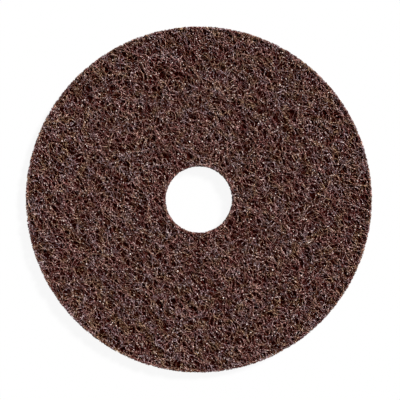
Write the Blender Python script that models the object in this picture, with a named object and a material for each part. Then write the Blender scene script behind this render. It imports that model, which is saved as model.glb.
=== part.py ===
"""Surface conditioning disc, 115 mm across, with a 22 mm centre hole.

The real disc is stamped out of one sheet of non-woven abrasive web: crimped
nylon fibres, needled together and bonded with resin and abrasive grain. It is
one piece from face to back, so it is one solid here.

The sheet is a slab with a flat back. Its working face is an open nap: strands
of bonded fibre stand up around hollows, and the highest come within 0.1 mm of
the full thickness. A round die and a centre punch then cut the disc out of the
sheet, as in the factory.

The origin is the centre of the disc's back face. +Z points out of the working
face. Lengths are in metres.
"""

import math

import bmesh
import bpy

# The disc as it is sold
DISC_DIAMETER = 0.115
BORE_DIAMETER = 0.022
WEB_THICKNESS = 0.006

# The nap: how deep its hollows are, how far apart they lie, how uneven the
# strands around them are, and how far the strands wander sideways
HOLLOW_DEPTH = 0.0016
HOLLOW_SPACING = 0.0036
STRAND_UNEVENNESS = 0.0006
STRAND_WANDER = 0.0008

# How finely the nap and the two round cuts are drawn
NAP_STEP = 0.0016
RIM_FACETS = 144
BORE_FACETS = 64
SMOOTH_ANGLE = math.radians(50)

# What is left around the die on the sheet, and how far the tools reach past
# the sheet on either side
SHEET_MARGIN = 0.003
TOOL_OVERRUN = 0.002

WEB_COLOUR = (0.078, 0.038, 0.032, 1.0)
WEB_ROUGHNESS = 0.75

NAP_GROUP = "nap"


def clear_scene():
    for obj in list(bpy.data.objects):
        bpy.data.objects.remove(obj, do_unlink=True)


def new_collection(name):
    collection = bpy.data.collections.new(name)
    bpy.context.scene.collection.children.link(collection)
    return collection


def web_material():
    """Resin-bonded nylon fibre, a dull dark brown."""
    material = bpy.data.materials.new("abrasive_web")
    material.use_nodes = True
    shader = material.node_tree.nodes["Principled BSDF"]
    shader.inputs["Base Color"].default_value = WEB_COLOUR
    shader.inputs["Roughness"].default_value = WEB_ROUGHNESS
    shader.inputs["Metallic"].default_value = 0.0
    material.diffuse_color = WEB_COLOUR
    return material


def sheet_mesh():
    """A slab of web: a fine grid on top, plain sides and one flat back face."""
    half_side = DISC_DIAMETER / 2 + SHEET_MARGIN
    steps = math.ceil(2 * half_side / NAP_STEP)
    shape = bmesh.new()
    bmesh.ops.create_grid(shape, x_segments=steps, y_segments=steps, size=half_side)
    for vertex in shape.verts:
        vertex.co.z = WEB_THICKNESS
    border = [edge for edge in shape.edges if edge.is_boundary]
    sides = bmesh.ops.extrude_edge_only(shape, edges=border)["geom"]
    foot = [item for item in sides if isinstance(item, bmesh.types.BMVert)]
    for vertex in foot:
        vertex.co.z = 0.0
    open_edges = [edge for edge in shape.edges if edge.is_boundary]
    bmesh.ops.contextual_create(shape, geom=open_edges)
    bmesh.ops.recalc_face_normals(shape, faces=shape.faces)
    mesh = bpy.data.meshes.new("web_sheet")
    shape.to_mesh(mesh)
    shape.free()
    return mesh


def nap_pattern(name, basis, size):
    """A three-dimensional pattern of lumps of one size."""
    texture = bpy.data.textures.new(name, "CLOUDS")
    texture.noise_basis = basis
    texture.noise_scale = size
    texture.noise_depth = 0
    return texture


def push_nap(sheet, texture, direction, strength, mid_level):
    """Moves the working face's points along one axis by a pattern."""
    push = sheet.modifiers.new(texture.name, "DISPLACE")
    push.texture = texture
    push.texture_coords = "LOCAL"
    push.direction = direction
    push.strength = strength
    push.mid_level = mid_level
    push.vertex_group = NAP_GROUP


def raise_nap(sheet):
    """Sinks hollows into the working face, and leaves uneven strands between."""
    top = [v.index for v in sheet.data.vertices if v.co.z > WEB_THICKNESS / 2]
    sheet.vertex_groups.new(name=NAP_GROUP).add(top, 1.0, "REPLACE")
    hollows = nap_pattern("hollows", "VORONOI_F2_F1", HOLLOW_SPACING)
    uneven = nap_pattern("uneven_strands", "IMPROVED_PERLIN", HOLLOW_SPACING)
    across = nap_pattern("wander_across", "ORIGINAL_PERLIN", HOLLOW_SPACING)
    along = nap_pattern("wander_along", "BLENDER_ORIGINAL", HOLLOW_SPACING)
    push_nap(sheet, hollows, "Z", -HOLLOW_DEPTH, 0.0)
    push_nap(sheet, uneven, "Z", -STRAND_UNEVENNESS, 0.0)
    push_nap(sheet, across, "X", STRAND_WANDER, 0.5)
    push_nap(sheet, along, "Y", STRAND_WANDER, 0.5)


def round_tool(collection, name, diameter, facets):
    """A cylinder through the whole sheet, used as a cutter."""
    bpy.ops.mesh.primitive_cylinder_add(
        vertices=facets,
        radius=diameter / 2,
        depth=WEB_THICKNESS + 2 * TOOL_OVERRUN,
        location=(0.0, 0.0, WEB_THICKNESS / 2),
    )
    tool = bpy.context.object
    tool.name = name
    tool.hide_render = True
    tool.display_type = "WIRE"
    for owner in list(tool.users_collection):
        owner.objects.unlink(tool)
    collection.objects.link(tool)
    return tool


def cut(sheet, tool, operation):
    stamp = sheet.modifiers.new(tool.name, "BOOLEAN")
    stamp.object = tool
    stamp.operation = operation
    stamp.solver = "EXACT"


def bake_shape(disc):
    """Fixes the cut shape as a plain mesh, smooth but for its cut edges."""
    graph = bpy.context.evaluated_depsgraph_get()
    mesh = bpy.data.meshes.new_from_object(disc.evaluated_get(graph))
    disc.modifiers.clear()
    disc.data = mesh
    mesh.name = disc.name
    mesh.shade_smooth()
    mesh.set_sharp_from_angle(angle=SMOOTH_ANGLE)


def main():
    clear_scene()
    parts = new_collection("surface_conditioning_disc")
    tools = new_collection("cutting_tools")

    disc = bpy.data.objects.new("abrasive_disc", sheet_mesh())
    parts.objects.link(disc)
    disc.data.materials.append(web_material())
    raise_nap(disc)

    die = round_tool(tools, "outer_die", DISC_DIAMETER, RIM_FACETS)
    punch = round_tool(tools, "centre_punch", BORE_DIAMETER, BORE_FACETS)
    cut(disc, die, "INTERSECT")
    cut(disc, punch, "DIFFERENCE")
    bake_shape(disc)


main()
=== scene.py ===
"""The looks of a brown surface conditioning disc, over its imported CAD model.

The disc is a tangle of crimped nylon fibres bonded with resin and abrasive
grain. The script builds that tangle the way the web is made: a dense middle,
fibres laid over its face and back, the die-cut rim and centre hole, and the
grains stuck to the fibres. Lengths are in metres.
"""

import math

import bpy
import numpy as np
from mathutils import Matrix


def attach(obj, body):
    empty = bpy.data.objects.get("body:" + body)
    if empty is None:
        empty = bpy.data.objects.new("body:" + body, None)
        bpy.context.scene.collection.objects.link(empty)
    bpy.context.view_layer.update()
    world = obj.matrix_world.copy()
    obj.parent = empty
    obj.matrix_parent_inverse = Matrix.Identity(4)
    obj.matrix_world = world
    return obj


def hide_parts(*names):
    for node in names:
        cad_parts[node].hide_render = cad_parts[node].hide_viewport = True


# The disc as the CAD model has it: one solid, lying on its back face, with
# its working face up. Its radius, thickness and hole come from that solid, so
# every fibre below is laid and cut to the same sizes.
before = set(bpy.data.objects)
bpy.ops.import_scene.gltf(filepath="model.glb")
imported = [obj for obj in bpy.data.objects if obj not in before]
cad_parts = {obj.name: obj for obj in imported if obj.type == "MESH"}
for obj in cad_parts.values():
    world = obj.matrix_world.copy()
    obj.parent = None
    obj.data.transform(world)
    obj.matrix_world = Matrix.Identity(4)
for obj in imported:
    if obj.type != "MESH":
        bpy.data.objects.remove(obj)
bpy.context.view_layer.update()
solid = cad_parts["abrasive_disc"]
corners = np.empty(len(solid.data.vertices) * 3, np.float32)
solid.data.vertices.foreach_get("co", corners)
corners = corners.reshape(-1, 3)
disc_radius = float((corners[:, 0].max() - corners[:, 0].min()) / 2)
hole_radius = float(np.hypot(corners[:, 0], corners[:, 1]).min())
web_top = float(corners[:, 2].max())

# The camera looks straight down on the working face, as in the photograph,
# with a long lens. The disc's radius and centre in the photograph, in pixels,
# set how far away the camera is and how far off the disc's axis it stands.
PHOTO_WIDTH = 400
DISC_RADIUS_IN_PHOTO = 173.5
DISC_CENTRE_IN_PHOTO = (198.8, 199.5)
LENS = 100.0
SENSOR = 36.0

pixel = disc_radius / DISC_RADIUS_IN_PHOTO
camera_data = bpy.data.cameras.new("camera")
camera_data.lens = LENS
camera_data.sensor_width = SENSOR
camera_data.clip_start = 0.01
camera = bpy.data.objects.new("camera", camera_data)
camera.location = (
    (PHOTO_WIDTH / 2 - DISC_CENTRE_IN_PHOTO[0]) * pixel,
    (DISC_CENTRE_IN_PHOTO[1] - PHOTO_WIDTH / 2) * pixel,
    web_top + PHOTO_WIDTH * pixel * LENS / SENSOR,
)
bpy.context.scene.collection.objects.link(camera)
bpy.context.scene.camera = camera

# The heart of the web, where the fibres are packed and bonded too densely to
# see between them. It is dark resin, shows only down the pores between the
# outer fibres, and ends short of the face, the back and both cut edges. Its
# near-black colour is partly painted shade of the web's depths, darkest
# towards the face, with paler strands on the underside.
CORE_TOP = 0.0040
CORE_BOTTOM = 0.0010
CORE_RIM_INSET = 0.0006
CORE_HOLE_INSET = 0.0006
CORE_ROUNDING = 0.0008
CORE_STEPS_ROUND = 400
CORE_STEPS_ACROSS = 68
CORE_LUMP = 0.00025
CORE_LUMP_SEED = 11
CORE_LUMP_WAVES = 40
CORE_LUMP_LENGTHS = (0.0018, 0.006)
# Near-black resin and dark brown strands, partly painted shade of the web's depths; the back brown
# is the underside's paler strands.
CORE_DARK_RESIN_AND_SHADE = (0.010, 0.0006, 0.0003)
CORE_BROWN_PAINTED_SHADE = (0.060, 0.010, 0.006)
CORE_BACK_BROWN = (0.230, 0.100, 0.078)
CORE_PAINTED_SHADE_HEIGHTS = (0.0022, 0.0014)
CORE_STRAND_CELLS = (0.0013, 0.0009)
CORE_STRAND_EDGES = (0.02, 0.12)
CORE_GRIT_SIZE = 0.0003
CORE_BUMP = 0.0003


class Wire:
    """A shader socket that takes part in arithmetic, through Math nodes."""

    def __init__(self, tree, socket):
        self.tree = tree
        self.socket = socket

    def math(self, operation, *others):
        """One Math node, with this value and the others as its inputs."""
        made = self.tree.nodes.new("ShaderNodeMath")
        made.operation = operation
        for slot, value in zip(made.inputs, (self, *others)):
            connect(self.tree, slot, value)
        return Wire(self.tree, made.outputs[0])

    def __add__(self, other):
        return self.math("ADD", other)

    def __mul__(self, other):
        return self.math("MULTIPLY", other)

    def __pow__(self, other):
        return self.math("POWER", other)

    __radd__ = __add__
    __rmul__ = __mul__

    def __rsub__(self, other):
        return (self * -1.0) + other


def connect(tree, slot, value):
    """Links a socket to a slot, or writes a number or a colour into it."""
    if isinstance(value, Wire):
        tree.links.new(value.socket, slot)
    elif isinstance(value, tuple) and len(value) == 3 and slot.type == "RGBA":
        slot.default_value = (*value, 1.0)
    else:
        slot.default_value = value


class Finish:
    """The nodes of a material or of the world, as they are being made."""

    def __init__(self, owner):
        self.owner = owner
        self.owner.use_nodes = True
        self.tree = self.owner.node_tree

    def node(self, kind, output, settings=None, **values):
        """Any node: its type, its settings, and its sockets' values or links."""
        made = self.tree.nodes.new("ShaderNode" + kind)
        for name, value in (settings or {}).items():
            setattr(made, name, value)
        self.fill(made, values)
        return Wire(self.tree, next(s for s in made.outputs if s.name == output and s.enabled))

    def fill(self, made, values):
        """Puts values or links into a node's sockets, by their names."""
        for name, value in values.items():
            fits = [s for s in made.inputs if name in (s.name.replace(" ", "_"), s.identifier)]
            connect(self.tree, next(s for s in fits if s.enabled), value)

    def feed(self, receiver, **values):
        """Fills a node that is there from the start, and hands back the owner."""
        self.fill(self.tree.nodes[receiver], values)
        return self.owner

    def place(self):
        """Where a point lies on the disc, in metres."""
        return self.node("TexCoord", "Object")

    def noise(self, size, detail=2.0, roughness=0.5, at=None):
        """Cloudy noise whose lumps are about one size wide, from 0 to 1."""
        return self.node("TexNoise", "Fac", Vector=at or self.place(), Scale=1 / size,
                         Detail=detail, Roughness=roughness)

    def attribute(self, name):
        """A number that the mesh holds at each point."""
        return self.node("Attribute", "Fac", {"attribute_name": name})

    def blend(self, factor, first, second):
        """Two colours mixed by a factor."""
        return self.node("Mix", "Result", {"data_type": "RGBA"}, Factor=factor, A=first, B=second)

    def stretch(self, value, low, high, to_low=0.0, to_high=1.0):
        """A value's range moved to another one, and held inside it."""
        return self.node("MapRange", "Result", Value=value, From_Min=low, From_Max=high,
                         To_Min=to_low, To_Max=to_high)

    def bump(self, height, distance):
        """The normal of a surface raised by a height of 0 to 1 times a distance."""
        return self.node("Bump", "Normal", Height=height, Distance=distance)

    def shown_white(self):
        """1 on what the camera sees, straight or by gloss or glass, else 0."""
        seen, glossy, clear = (self.node("LightPath", f"Is {kind} Ray")
                               for kind in ("Camera", "Glossy", "Transmission"))
        return seen.math("MAXIMUM", glossy.math("MAXIMUM", clear))


def waves(x, y, seed, count, lengths):
    """A rolling height of about -1 to 1: the sum of plane waves, each with its
    own direction, phase and length, divided by twice the root of half their
    number."""
    draw = np.random.default_rng(seed)
    total = np.zeros_like(x)
    for _ in range(count):
        turn = draw.uniform(0, 2 * math.pi)
        rate = 2 * math.pi / draw.uniform(*lengths)
        along = x * math.cos(turn) + y * math.sin(turn)
        total += np.sin(rate * along + draw.uniform(0, 2 * math.pi))
    return total / math.sqrt(count / 2) / 2


def add_piece(name, points, faces, smooth=True):
    """A mesh object from rows of points and rows of faces, riding on the disc."""
    mesh = bpy.data.meshes.new(name)
    mesh.from_pydata(points, [], faces)
    mesh.polygons.foreach_set("use_smooth", np.full(len(mesh.polygons), smooth))
    piece = bpy.data.objects.new(name, mesh)
    bpy.context.scene.collection.objects.link(piece)
    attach(piece, "root")
    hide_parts("abrasive_disc")
    return piece


def core_surface():
    """A ring with a rounded rectangle as its section: u goes round the disc,
    and v round the section. A point near a corner of the section is drawn in
    onto the rounding, and rolling waves push the rounded parts out and in."""
    u = np.linspace(0, 2 * math.pi, CORE_STEPS_ROUND, endpoint=False)[:, None]
    outer = disc_radius - CORE_RIM_INSET
    inner = hole_radius + CORE_HOLE_INSET
    middle, half_width = (outer + inner) / 2, (outer - inner) / 2
    mid_height, half_height = (CORE_TOP + CORE_BOTTOM) / 2, (CORE_TOP - CORE_BOTTOM) / 2
    girth = 4 * (half_width + half_height)
    v = (np.arange(CORE_STEPS_ACROSS) + 0.5)[None, :] / CORE_STEPS_ACROSS * girth
    turns_at = np.cumsum([0, 2 * half_width, 2 * half_height, 2 * half_width, 2 * half_height])
    across = np.interp(v, turns_at, half_width * np.array([-1, 1, 1, -1, -1]))
    up = np.interp(v, turns_at, half_height * np.array([1, 1, -1, -1, 1]))
    out_x = np.sign(across) * np.clip(np.abs(across) - half_width + CORE_ROUNDING, 0, None)
    out_z = np.sign(up) * np.clip(np.abs(up) - half_height + CORE_ROUNDING, 0, None)
    reach = np.maximum(np.hypot(out_x, out_z), 1e-9)
    shrink = np.minimum(CORE_ROUNDING / reach, 1.0) - 1.0
    across, up = across + out_x * shrink, up + out_z * shrink
    r = middle + across
    x, y = r * np.cos(u), r * np.sin(u)
    lump = CORE_LUMP * waves(x, y, CORE_LUMP_SEED, CORE_LUMP_WAVES, CORE_LUMP_LENGTHS)
    r = r + lump * out_x / reach
    z = np.maximum(mid_height + up + lump * out_z / reach, CORE_BOTTOM / 2)
    points = np.stack([r * np.cos(u), r * np.sin(u), z + 0 * u], -1).reshape(-1, 3)
    i = np.arange(CORE_STEPS_ROUND)[:, None]
    j = np.arange(CORE_STEPS_ACROSS)[None, :]
    i_next, j_next = (i + 1) % CORE_STEPS_ROUND, (j + 1) % CORE_STEPS_ACROSS
    faces = np.stack([i * CORE_STEPS_ACROSS + j, i * CORE_STEPS_ACROSS + j_next,
                      i_next * CORE_STEPS_ACROSS + j_next, i_next * CORE_STEPS_ACROSS + j], -1)
    return points, faces.reshape(-1, 4)


def core_resin():
    """Dark resin with strands in it, drawn as the edges of two sets of cells.
    Fine noise breaks each strand up into grit. The near-black resin and the
    dark brown strands above the core's lower part are partly painted shade of
    the web's depths, and the strands are paler on the underside."""
    made = Finish(bpy.data.materials.new("core_resin"))
    grit = made.noise(CORE_GRIT_SIZE, 1.0)
    strands = 0.0
    for size in CORE_STRAND_CELLS:
        edge = made.node("TexVoronoi", "Distance", {"feature": "DISTANCE_TO_EDGE"},
                         Vector=made.place(), Scale=1 / size)
        strands = made.stretch(edge, *CORE_STRAND_EDGES, 0.5, 0.0) + strands
    shade = strands * made.stretch(grit, 0.35, 0.65, 0.1, 1.8)
    # Painted shade: the strands are dark brown from about 2.2 mm up, towards the face, and paler
    # brown on the underside below about 1.4 mm.
    height = made.node("SeparateXYZ", "Z", Vector=made.place())
    brown_and_painted_shade = made.blend(made.stretch(height, *CORE_PAINTED_SHADE_HEIGHTS), CORE_BROWN_PAINTED_SHADE, CORE_BACK_BROWN)
    return made.feed("Principled BSDF", Base_Color=made.blend(shade, CORE_DARK_RESIN_AND_SHADE, brown_and_painted_shade),
                     Roughness=0.9 - shade * 0.3, Specular_IOR_Level=0.0,
                     Normal=made.bump(strands + grit * 0.3, CORE_BUMP))


web_core = add_piece("web_core", *core_surface())
web_core.data.materials.append(core_resin())

# The nap is what the working face shows: long crimped nylon fibres, laid by
# air mostly along one direction, looped over each other and bonded where they
# cross. Four layers lie one over the other, the top one finest and best lit.
# Each layer's level paints light and shade by depth: the deeper layers get
# darker resin and less pale grit as painted shade, and the crown gets paler
# resin and more grit as painted light.
NAP_LAYERS = {
    "nap_lower": {"seed": 3, "length": 20.0, "step": 0.00080, "width": 0.00025,
                  "low": 0.0036, "high": 0.0044, "grit_and_painted_light": 0.15, "shine": 0.0},
    "nap_middle": {"seed": 2, "length": 22.0, "step": 0.00075, "width": 0.00021,
                   "low": 0.0042, "high": 0.0050, "grit_and_painted_light": 0.5, "shine": 0.10},
    "nap_upper": {"seed": 1, "length": 21.0, "step": 0.00070, "width": 0.00018,
                  "low": 0.0048, "high": 0.0056, "grit_and_painted_light": 1.0, "shine": 0.45},
    "nap_crown": {"seed": 4, "length": 12.0, "step": 0.00060, "width": 0.00014,
                  "low": 0.0052, "high": 0.0059, "grit_and_painted_light": 1.5, "shine": 0.60},
}
FIBRE_STEPS = 9
LAID_PAST_EDGES = 0.002
GRAIN_OF_WEB = math.radians(-51)
GRAIN_STRENGTH = 1.0
CRIMP_LONG = (0.008, 0.014)
CRIMP_LONG_TURN = (0.2, 0.7)
CRIMP_SHORT = (0.0035, 0.006)
CRIMP_SHORT_TURN = (0.25, 0.7)
EVEN_SHAKE = 0.4
WEAVE = 0.00035
WEAVE_LENGTHS = (0.003, 0.006)
END_DIVE = 0.0008
END_DIVE_STEPS = 4
PORE_PUSH = 0.00030
PORE_SEED = 31
PORE_WAVES = 40
PORE_LENGTHS = (0.0030, 0.008)
PORE_STRETCH = 2.5
TUFT_HEIGHT = 0.00020
TUFT_SEED = 21
TUFT_WAVES = 30
TUFT_LENGTHS = (0.003, 0.010)
RIM_SPRING = 0.0001
HOLE_SPRING = 0.0005


def crimped_paths(draw, count, steps, step):
    """Flat curly paths. The heading of each is a start angle, drawn towards
    the grain of the web, plus two sine waves along its length, and its points
    are the running sum of the steps, centred on the origin."""
    s = np.arange(steps + 1) * step
    start = draw.uniform(0, math.pi, count)
    pull = GRAIN_STRENGTH * np.sin(2 * (start - GRAIN_OF_WEB)) / 2
    heading = (start - pull)[:, None] + draw.choice([0, math.pi], (count, 1))
    for lengths, turns in ((CRIMP_LONG, CRIMP_LONG_TURN), (CRIMP_SHORT, CRIMP_SHORT_TURN)):
        rate = 2 * math.pi / draw.uniform(*lengths, (count, 1))
        swing = draw.uniform(*turns, (count, 1))
        heading = heading + swing * np.sin(rate * s + draw.uniform(0, 2 * math.pi, (count, 1)))
    x = np.cumsum(np.cos(heading), 1) * step
    y = np.cumsum(np.sin(heading), 1) * step
    return x - x.mean(1, keepdims=True), y - y.mean(1, keepdims=True), s


def spread_over_ring(draw, count, inner, outer):
    """Points evenly spread over a ring: a sunflower spiral, with each point
    shaken by a share of the mean space between them."""
    order = np.arange(count) + 0.5
    r = np.sqrt(inner**2 + order / count * (outer**2 - inner**2))
    turn = order * math.pi * (3 - math.sqrt(5))
    shake = math.sqrt(math.pi * (outer**2 - inner**2) / count) * EVEN_SHAKE
    return (r * np.cos(turn) + draw.normal(0, shake, count),
            r * np.sin(turn) + draw.normal(0, shake, count))


def swaying(draw, s, count, lengths, reach):
    """A sine wave along each fibre, with its own length and phase."""
    rate = 2 * math.pi / draw.uniform(*lengths, (count, 1))
    return reach * np.sin(rate * s + draw.uniform(0, 2 * math.pi, (count, 1)))


def die_cut(path, draw):
    """Cuts paths at the rim and at the hole, as the die does. A point past an
    edge moves back to where its fibre crosses it, and each fibre has sprung
    back from the cut by its own small amount. Returns the paths and which of
    their steps are left."""
    chance = draw.uniform(0, 1, (len(path), 1)) ** 2
    rim, hole = disc_radius - RIM_SPRING * chance, hole_radius + HOLE_SPRING * chance
    r = np.hypot(path[..., 0], path[..., 1])
    inside = (r < rim) & (r > hole)
    here, there = inside[:, :-1], inside[:, 1:]
    leaving = here & ~there
    entering = ~here & there
    entering[:, 1:] &= ~leaving[:, :-1]
    for going, far, near in ((leaving, 1, 0), (entering, 0, 1)):
        row, column = np.nonzero(going)
        end, start = path[row, column + far], path[row, column + near]
        r_end, r_start = r[row, column + far], r[row, column + near]
        edge = np.where(r_end > r_start, rim[row, 0], hole[row, 0])
        share = ((edge - r_start) / (r_end - r_start))[:, None]
        path[row, column + far] = start + (end - start) * share
    return path, (here & there) | leaving | entering


FIBRE_SIDES = 3
FIBRE_TWIST = 0.25
FIBRE_THICKNESS = (0.75, 1.3)
RING_THICKNESS = (0.7, 1.4)
MIN_HEIGHT = 0.0001


def tube_points(path, width, draw):
    """The corners of a ring at each point of each path, square to the path.
    Each ring is turned and thickened a little at random, and corners past an
    edge are pressed back onto it."""
    count, rings = path.shape[:2]
    ahead = np.gradient(path, axis=1)
    ahead /= np.maximum(np.linalg.norm(ahead, axis=2, keepdims=True), 1e-9)
    side = np.cross(np.array([0.0, 0.0, 1.0]), ahead)
    side /= np.maximum(np.linalg.norm(side, axis=2, keepdims=True), 1e-9)
    lift = np.cross(ahead, side)
    turn = draw.uniform(0, 2 * math.pi, (count, 1))
    turn = turn + np.cumsum(draw.normal(0, FIBRE_TWIST, (count, rings)), 1)
    thick = width / 2 * draw.uniform(*FIBRE_THICKNESS, (count, 1))
    thick = thick * draw.uniform(*RING_THICKNESS, (count, rings))
    points = np.empty((count, rings, FIBRE_SIDES, 3))
    for k in range(FIBRE_SIDES):
        angle = turn + 2 * math.pi * k / FIBRE_SIDES
        reach = np.cos(angle)[..., None] * side + np.sin(angle)[..., None] * lift
        points[:, :, k] = path + thick[..., None] * reach
    r = np.hypot(points[..., 0], points[..., 1])
    held = np.clip(r, hole_radius, disc_radius) / np.maximum(r, 1e-9)
    points[..., :2] *= held[..., None]
    points[..., 2] = np.clip(points[..., 2], MIN_HEIGHT, web_top)
    return points


def run_ends(left):
    """The fibre and the ring at which each unbroken run of steps starts, and
    those at which it ends."""
    padded = np.pad(left, ((0, 0), (1, 1)))
    starts = np.nonzero(padded[:, 1:] & ~padded[:, :-1])
    ends = np.nonzero(padded[:, :-1] & ~padded[:, 1:])
    return starts, ends


def tube_faces(left):
    """The walls of the tubes and their end caps, as rows of corner numbers.
    Each step that is left has one quad on each side, and each unbroken run of
    steps has a triangle over both ends."""
    count, rings = left.shape[0], left.shape[1] + 1
    number = np.arange(count * rings * FIBRE_SIDES).reshape(count, rings, FIBRE_SIDES)
    row, column = np.nonzero(left)
    here, there = number[row, column], number[row, column + 1]
    walls = []
    for k in range(FIBRE_SIDES):
        after = (k + 1) % FIBRE_SIDES
        walls.append(np.stack([here[:, k], here[:, after], there[:, after], there[:, k]], -1))
    starts, ends = run_ends(left)
    return np.concatenate(walls), np.concatenate([number[starts][:, ::-1], number[ends]])


STRIP_GAP = 0.5
CAP_STARTS = (-0.45, 0.05)
CAP_LENGTH = 0.4
CAP_LANES = (0.3, 2.7, 1.5)


def bake_places(left):
    """Where the corners of those faces lie on the bake map. Each fibre has its
    own strip, with a column for each step and a lane for each side, and its
    end caps lie just before its first column and just after its last one."""
    count, rings = left.shape[0], left.shape[1] + 1
    across = max(1, round(math.sqrt(FIBRE_SIDES * count / (rings + 1))))
    down = math.ceil(count / across)
    column_width = 1 / across / (rings + 1)
    lane_height = 1 / down / (FIBRE_SIDES + STRIP_GAP)

    def place(fibre, ring, lane):
        """A ring and a lane of a fibre's strip, as u and v on the map."""
        u = (fibre % across) / across + (ring + 1) * column_width
        v = (fibre // across) / down + (lane + STRIP_GAP / 2) * lane_height
        return np.stack([u, v], -1)

    row, column = np.nonzero(left)
    walls = []
    for k in range(FIBRE_SIDES):
        walls.append(np.stack([place(row, column, k), place(row, column, k + 1),
                               place(row, column + 1, k + 1), place(row, column + 1, k)], 1))
    caps = []
    for (fibre, ring), off in zip(run_ends(left), CAP_STARTS):
        first, last, tip = CAP_LANES
        caps.append(np.stack([place(fibre, ring + off, first), place(fibre, ring + off, last),
                              place(fibre, ring + off + CAP_LENGTH, tip)], 1))
    return np.concatenate([face.reshape(-1, 2) for face in walls + caps])


FIBRE_TONE = 0.5
RING_TONE = 0.2
# Tone rises by this share at the cut edges, falling off over this reach inwards, so the edges are
# paler.
EDGE_PALING = 0.8
EDGE_PALING_REACH = 0.0010


def fibre_piece(name, path, left, width, draw, material):
    """Fibres as one piece, with two attributes. Tone says how thick the grit
    lies: it scatters about 1 from fibre to fibre, and less from ring to ring,
    and it rises towards the cut edges, so they are paler. Tint is a number
    from 0 to 1 for each fibre."""
    count, rings = path.shape[:2]
    points = tube_points(path, width, draw).reshape(-1, 3)
    walls, caps = tube_faces(left)
    corner_numbers = np.concatenate([walls.ravel(), caps.ravel()])
    used, packed = np.unique(corner_numbers, return_inverse=True)
    faces = packed[:walls.size].reshape(-1, 4).tolist()
    faces += packed[walls.size:].reshape(-1, 3).tolist()
    piece = add_piece(name, points[used], faces)

    fibre, ring = used // (rings * FIBRE_SIDES), used // FIBRE_SIDES % rings
    scatter = draw.normal(0, FIBRE_TONE, (count, 1)) + draw.normal(0, RING_TONE, (count, rings))
    r = np.hypot(path[..., 0], path[..., 1])
    inwards = np.clip(np.minimum(r - hole_radius, disc_radius - r), 0, None)
    tone = np.exp(scatter) * (1 + EDGE_PALING * np.exp(-inwards / EDGE_PALING_REACH))
    tint = draw.uniform(0, 1, count)
    mesh = piece.data
    mesh.uv_layers.new(name="OFBake").uv.foreach_set("vector", bake_places(left).ravel())
    mesh.attributes.new("tone", "FLOAT", "POINT").data.foreach_set("value", tone[fibre, ring])
    mesh.attributes.new("tint", "FLOAT", "POINT").data.foreach_set("value", tint[fibre])
    mesh.materials.append(material)
    return piece


# The first colour is the near-black that a layer's resin is darkened towards by a low level:
# painted shade.
RESIN_PAINTED_SHADE = (0.035, 0.0005, 0.0003)
RESIN_RED = (0.106, 0.0103, 0.0062)
RESIN_TAN = (0.103, 0.0250, 0.0045)
# The grit colours are partly real pale grit and partly painted glints: sparse bright specks of
# them stand in for highlights along the fibres.
DUST_AND_GLINT_PINK = (0.870, 0.487, 0.438)
DUST_AND_GLINT_TAN = (0.860, 0.556, 0.327)
DUST_AND_GLINT_GREY = (0.708, 0.513, 0.557)
HUE_PATCH = 0.0035
HUE_BY_FIBRE = 0.15
HUE_TURN = (0.45, 0.75)
GREY_PATCH = 0.0033
GREY_TURN = (0.48, 0.62)
SPECK = 0.00032
SPECK_SPARSENESS = 5.0
SPECK_COVER = 6.3
COVER_RANGE = (0.3, 3.6)
STREAK_WIDTH = 0.0050
STREAK_LENGTH = 0.0150
STREAK_COVER = (0.25, 1.75)
SPECK_BUMP = 0.00008


def bonded_fibre(name, grit_and_painted_light, shine):
    """Nylon fibre under dark resin, dusted with pale fine grit: the resin is
    red-brown to tan from patch to patch and fibre to fibre, and the grit pink,
    tan or grey. The grit covers fibres by their tone, in streaks along the
    grain of the web, and in specks of which few are thick; its sparse pale
    specks are partly real grit and partly painted glints along the fibres. A
    layer's level is painted light and shade by depth: below 1 it thins the grit
    and darkens the resin towards near-black, as painted shade, and above 1 it
    thickens the grit and lightens the resin past its colour, as painted light."""
    made = Finish(bpy.data.materials.new(name))
    hue = made.attribute("tint") * HUE_BY_FIBRE + made.noise(HUE_PATCH, 1.0)
    # Painted light and shade by depth: a low level darkens the resin towards near-black, and a
    # level above 1 lightens it past its colour.
    red, tan = [tuple(in_painted_shade + (top - in_painted_shade) * grit_and_painted_light for in_painted_shade, top in zip(RESIN_PAINTED_SHADE, resin))
                for resin in (RESIN_RED, RESIN_TAN)]
    resin = made.blend(made.stretch(hue, *HUE_TURN), red, tan)
    dust_and_glint = made.blend(made.stretch(hue, *HUE_TURN), DUST_AND_GLINT_PINK, DUST_AND_GLINT_TAN)
    dust_and_glint = made.blend(made.stretch(made.noise(GREY_PATCH, 1.0), *GREY_TURN), dust_and_glint, DUST_AND_GLINT_GREY)
    cells = {"Vector": made.place(), "Scale": 1 / SPECK}
    centre = made.node("TexVoronoi", "Position", **cells)
    fleck = made.node("TexWhiteNoise", "Value", Vector=centre)
    drawn_out = made.node("Mapping", "Vector", {"vector_type": "TEXTURE"}, Vector=made.place(),
                          Rotation=(0.0, 0.0, GRAIN_OF_WEB),
                          Scale=(STREAK_LENGTH / STREAK_WIDTH, 1.0, 1.0))
    streaks = made.noise(STREAK_WIDTH, 3.0, 0.7, at=drawn_out)
    streaks = made.stretch(streaks, 0.3, 0.7, *STREAK_COVER)
    # Painted glints, partly real grit: sparse pale specks along the fibres, more of them at a
    # higher level, stand in for highlights.
    specks_and_glints = made.attribute("tone") * streaks * fleck**SPECK_SPARSENESS
    grit = made.stretch(specks_and_glints * SPECK_COVER * grit_and_painted_light, *COVER_RANGE)
    knobbly = 1.0 - made.node("TexVoronoi", "Distance", **cells)
    return made.feed("Principled BSDF", Base_Color=made.blend(grit, resin, dust_and_glint),
                     Roughness=0.45 - grit * 0.15, Specular_IOR_Level=shine,
                     Normal=made.bump(knobbly, SPECK_BUMP))


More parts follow.
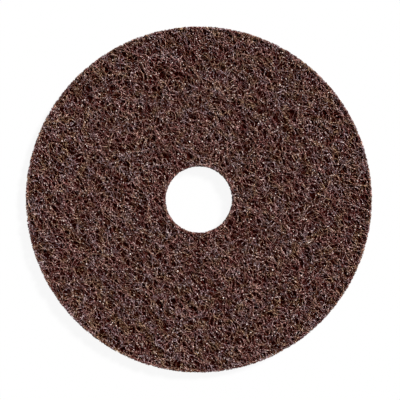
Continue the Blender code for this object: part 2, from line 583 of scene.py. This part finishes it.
grit_sites = {}
for name, layer in NAP_LAYERS.items():
    draw = np.random.default_rng(layer["seed"])
    fibres = round(layer["length"] / (FIBRE_STEPS * layer["step"]))
    x, y, s = crimped_paths(draw, fibres, FIBRE_STEPS, layer["step"])
    laid_from, laid_to = hole_radius - LAID_PAST_EDGES, disc_radius + LAID_PAST_EDGES
    at_x, at_y = spread_over_ring(draw, fibres, laid_from, laid_to)
    x, y = x + at_x[:, None], y + at_y[:, None]

    # Long pores open between the fibres where rolling waves, drawn out along
    # the grain of the web, push them sideways. Others lift them into tufts.
    along = (x * math.cos(GRAIN_OF_WEB) + y * math.sin(GRAIN_OF_WEB)) / PORE_STRETCH
    across = y * math.cos(GRAIN_OF_WEB) - x * math.sin(GRAIN_OF_WEB)
    push = PORE_PUSH * waves(along, across, PORE_SEED, PORE_WAVES, PORE_LENGTHS)
    x, y = x - push * math.sin(GRAIN_OF_WEB), y + push * math.cos(GRAIN_OF_WEB)
    height = draw.uniform(layer["low"], layer["high"], (fibres, 1))
    height = height + swaying(draw, s, fibres, WEAVE_LENGTHS, WEAVE)
    end = np.minimum(s, s[::-1]) / (END_DIVE_STEPS * layer["step"])
    height = height - END_DIVE * np.clip(1 - end, 0, 1) ** 2
    height = height + TUFT_HEIGHT * waves(along, across, TUFT_SEED, TUFT_WAVES, TUFT_LENGTHS)
    height = np.minimum(height, web_top - layer["width"] / 2)

    path, left = die_cut(np.stack([x, y, height], -1), draw)
    finish = bonded_fibre(name + "_fibre", layer["grit_and_painted_light"], layer["shine"])
    fibre_piece(name, path, left, layer["width"], draw, finish)
    grit_sites[name] = path[:, :-1][left]

# The rim and the wall of the hole are where the die sheared the web. Fibres
# run along these walls at all heights, weave in and out of them, and are cut
# off flush where they would stick out.
CUT_EDGES = {
    "rim_fibres": {"seed": 5, "length": 14.0, "radius": disc_radius, "inward": (-0.0005, -0.0002)},
    "hole_fibres": {"seed": 6, "length": 2.4, "radius": hole_radius, "inward": (0.0002, 0.0008)},
}
EDGE_STEP = 0.00075
EDGE_WIDTH = 0.00026
EDGE_WEAVE = 0.00042
EDGE_LEAN = 0.6
EDGE_HEIGHTS = (0.0003, 0.0054)
# At this level the edge fibres' resin is darkened part way towards near-black, as painted shade,
# and their grit thinned.
EDGE_GRIT_AND_PAINTED_LIGHT = 0.65
EDGE_SHINE = 0.2

edge_finish = bonded_fibre("cut_edge_fibre", EDGE_GRIT_AND_PAINTED_LIGHT, EDGE_SHINE)
for name, edge in CUT_EDGES.items():
    draw = np.random.default_rng(edge["seed"])
    fibres = round(edge["length"] / (FIBRE_STEPS * EDGE_STEP))
    along, lean, s = crimped_paths(draw, fibres, FIBRE_STEPS, EDGE_STEP)
    turn = 2 * math.pi * (np.arange(fibres)[:, None] + 0.5) / fibres + along / edge["radius"]
    r = edge["radius"] + draw.uniform(*edge["inward"], (fibres, 1))
    r = r + swaying(draw, s, fibres, WEAVE_LENGTHS, EDGE_WEAVE)
    height = draw.permutation(np.linspace(*EDGE_HEIGHTS, fibres))[:, None] + EDGE_LEAN * lean
    height = np.clip(height, EDGE_WIDTH / 2, web_top - EDGE_WIDTH)
    path, left = die_cut(np.stack([r * np.cos(turn), r * np.sin(turn), height], -1), draw)
    fibre_piece(name, path, left, EDGE_WIDTH, draw, edge_finish)

# The back is the other face of the same web. It is pressed flat, so its
# fibres lie level with each other on whatever carries the disc.
BACK_SEED = 7
BACK_LENGTH = 20.5
BACK_STEP = 0.0009
BACK_WIDTH = 0.00032
BACK_HEIGHTS = (0.0002, 0.0010)
BACK_WEAVE = 0.0001
# At this level the back fibres' resin is darkened part way towards near-black, as painted shade,
# and their grit thinned.
BACK_GRIT_AND_PAINTED_LIGHT = 0.6
BACK_SHINE = 0.1

draw = np.random.default_rng(BACK_SEED)
fibres = round(BACK_LENGTH / (FIBRE_STEPS * BACK_STEP))
x, y, s = crimped_paths(draw, fibres, FIBRE_STEPS, BACK_STEP)
at_x, at_y = spread_over_ring(draw, fibres, hole_radius, disc_radius)
x, y = x + at_x[:, None], y + at_y[:, None]
height = draw.uniform(*BACK_HEIGHTS, (fibres, 1))
height = height + swaying(draw, s, fibres, WEAVE_LENGTHS, BACK_WEAVE)
path, left = die_cut(np.stack([x, y, height], -1), draw)
back_finish = bonded_fibre("back_fibre", BACK_GRIT_AND_PAINTED_LIGHT, BACK_SHINE)
fibre_piece("back_fibres", path, left, BACK_WIDTH, draw, back_finish)

# The abrasive is a coarse grit of broken mineral grains, glued to the fibres
# by the resin. Each grain is a sharp chip, brown or nearly white, and its
# flat faces flash where they meet the light. The nearly white colour is
# partly real pale mineral and partly a painted glint. The palest grains are
# largest.
GRAIN_SEED = 8
GRAIN_COUNT = 18000
GRAIN_SIZE = (0.00009, 0.00030)
GRAIN_LIFT = 0.0001
GRAIN_BROWN = (0.14, 0.045, 0.030)
# Near-white, partly real pale mineral and partly a painted glint.
GRAIN_PALE_AND_GLINT = (0.95, 0.74, 0.68)
GRAIN_CLOUD = 0.0001
GRAIN_BUMP = 0.00002
CHIP_CORNERS = np.array([[1, 1, 1], [1, -1, -1], [-1, 1, -1], [-1, -1, 1]]) / math.sqrt(3)
CHIP_FACES = np.array([[0, 1, 2], [0, 2, 3], [0, 3, 1], [1, 3, 2]])
CHIP_SQUASH = (1.0, 1.0, 0.5)
CHIP_PULL = (0.7, 1.3)
CHIP_PLACE = np.array([[0.2, 0.2], [0.8, 0.2], [0.5, 0.8]])


def grain_chips(draw, sites, reach):
    """Four-sided chips at the sites. Each is a regular one of the given reach,
    turned any way, with each corner pulled out or in by up to a third, and
    then squashed flat by half."""
    count = len(sites)
    first = draw.normal(0, 1, (count, 3))
    first /= np.linalg.norm(first, axis=1, keepdims=True)
    third = np.cross(first, draw.normal(0, 1, (count, 3)))
    third /= np.linalg.norm(third, axis=1, keepdims=True)
    turned = np.stack([first, np.cross(third, first), third], 1)
    reach = reach[:, None, None] * draw.uniform(*CHIP_PULL, (count, 4, 1))
    points = reach * np.einsum("ck,nkj->ncj", CHIP_CORNERS, turned)
    points = sites[:, None, :] + points * CHIP_SQUASH
    faces = np.arange(count)[:, None, None] * 4 + CHIP_FACES
    return points.reshape(-1, 3), faces.reshape(-1, 3)


def chip_places(count):
    """Bake places of the chips' faces: each face has its own square."""
    across = math.ceil(math.sqrt(count * 4))
    cell = np.arange(count * 4)
    corner = np.stack([cell % across, cell // across], -1)[:, None, :]
    return ((corner + CHIP_PLACE) / across).reshape(-1, 2)


def mineral():
    """Glassy broken mineral, mostly brown, with a pale grain here and there,
    whose near-white colour is partly real and partly a painted glint.
    """
    made = Finish(bpy.data.materials.new("mineral_grain"))
    pale_and_glint = made.stretch(made.attribute("paleness_and_glint"), 0.6, 0.95)
    return made.feed("Principled BSDF", Base_Color=made.blend(pale_and_glint, GRAIN_BROWN, GRAIN_PALE_AND_GLINT),
                     Roughness=0.3, Specular_IOR_Level=0.7,
                     Normal=made.bump(made.noise(GRAIN_CLOUD, 1.0), GRAIN_BUMP))


draw = np.random.default_rng(GRAIN_SEED)
sites = grit_sites["nap_upper"]
sites = sites[draw.choice(len(sites), GRAIN_COUNT, replace=False)]
off = draw.normal(0, 1, sites.shape)
off[:, 2] = np.abs(off[:, 2])
sites = sites + off / np.linalg.norm(off, axis=1, keepdims=True) * GRAIN_LIFT
r = np.hypot(sites[:, 0], sites[:, 1])
margin = GRAIN_SIZE[1] * CHIP_PULL[1]
sites = sites[(r < disc_radius - margin) & (r > hole_radius + margin)]
paleness_and_glint = draw.uniform(0, 1, len(sites))
points, faces = grain_chips(draw, sites, np.interp(paleness_and_glint**2, [0, 1], GRAIN_SIZE))
grains = add_piece("abrasive_grains", points, faces, smooth=False)
grains.data.uv_layers.new(name="OFBake").uv.foreach_set("vector", chip_places(len(sites)).ravel())
pale_and_glint_points = grains.data.attributes.new("paleness_and_glint", "FLOAT", "POINT")
pale_and_glint_points.data.foreach_set("value", np.repeat(paleness_and_glint, 4))
grains.data.materials.append(mineral())

# The floor is a plain white sheet, and the camera sees nearly all of it at
# full white, with a part of the disc's shadow kept. One soft lamp from the
# upper right and an even white surround light the disc.
FLOOR_DROP = 0.00005
FLOOR_HALF = 2.0
FLOOR_CELLS = 8
WHITE = (1.0, 1.0, 1.0)
SHADOW_KEPT = 0.08
SURROUND = 0.14
LAMP_HEIGHT = math.radians(48)
LAMP_TURN = math.radians(40)
LAMP_SOFTNESS = math.radians(10)


def floor_surface():
    """A square grid, level, a hair below the disc's back."""
    side = np.linspace(-FLOOR_HALF, FLOOR_HALF, FLOOR_CELLS + 1)
    x, y = np.meshgrid(side, side, indexing="ij")
    points = np.stack([x, y, np.full_like(x, -FLOOR_DROP)], -1).reshape(-1, 3)
    i, j = np.meshgrid(np.arange(FLOOR_CELLS), np.arange(FLOOR_CELLS), indexing="ij")
    row = FLOOR_CELLS + 1
    first = i * row + j
    return points, np.stack([first, first + row, first + row + 1, first + 1], -1).reshape(-1, 4)


def floor_white():
    """Matt white that the camera sees as white light, but for a soft shadow."""
    made = Finish(bpy.data.materials.new("floor_white"))
    made.tree.nodes.remove(made.tree.nodes["Principled BSDF"])
    matt = made.node("BsdfDiffuse", "BSDF", Color=WHITE)
    glow = made.node("Emission", "Emission", Color=WHITE, Strength=1.0)
    share = made.shown_white() * (1 - SHADOW_KEPT)
    both = made.node("MixShader", "Shader", Fac=share, Shader=matt, Shader_001=glow)
    return made.feed("Material Output", Surface=both)


floor_points, floor_faces = floor_surface()
floor_mesh = bpy.data.meshes.new("floor")
floor_mesh.from_pydata(floor_points, [], floor_faces)
floor = bpy.data.objects.new("floor", floor_mesh)
bpy.context.scene.collection.objects.link(floor)
floor_mesh.materials.append(floor_white())

lamp_data = bpy.data.lights.new("lamp", "SUN")
lamp_data.energy = (1 - SURROUND) * math.pi / math.sin(LAMP_HEIGHT)
lamp_data.angle = LAMP_SOFTNESS
lamp = bpy.data.objects.new("lamp", lamp_data)
lamp.rotation_euler = (0.0, math.pi / 2 - LAMP_HEIGHT, LAMP_TURN)
bpy.context.scene.collection.objects.link(lamp)

air = Finish(bpy.data.worlds.new("surround"))
strength = SURROUND + (1 - SURROUND) * air.shown_white()
bpy.context.scene.world = air.feed("Background", Color=WHITE, Strength=strength)
bpy.context.scene.view_settings.view_transform = "Standard"

# The fibres are finer than a pixel, so the denoiser takes its guides as they
# are, without smoothing them first.
bpy.context.scene.cycles.denoising_prefilter = "NONE"
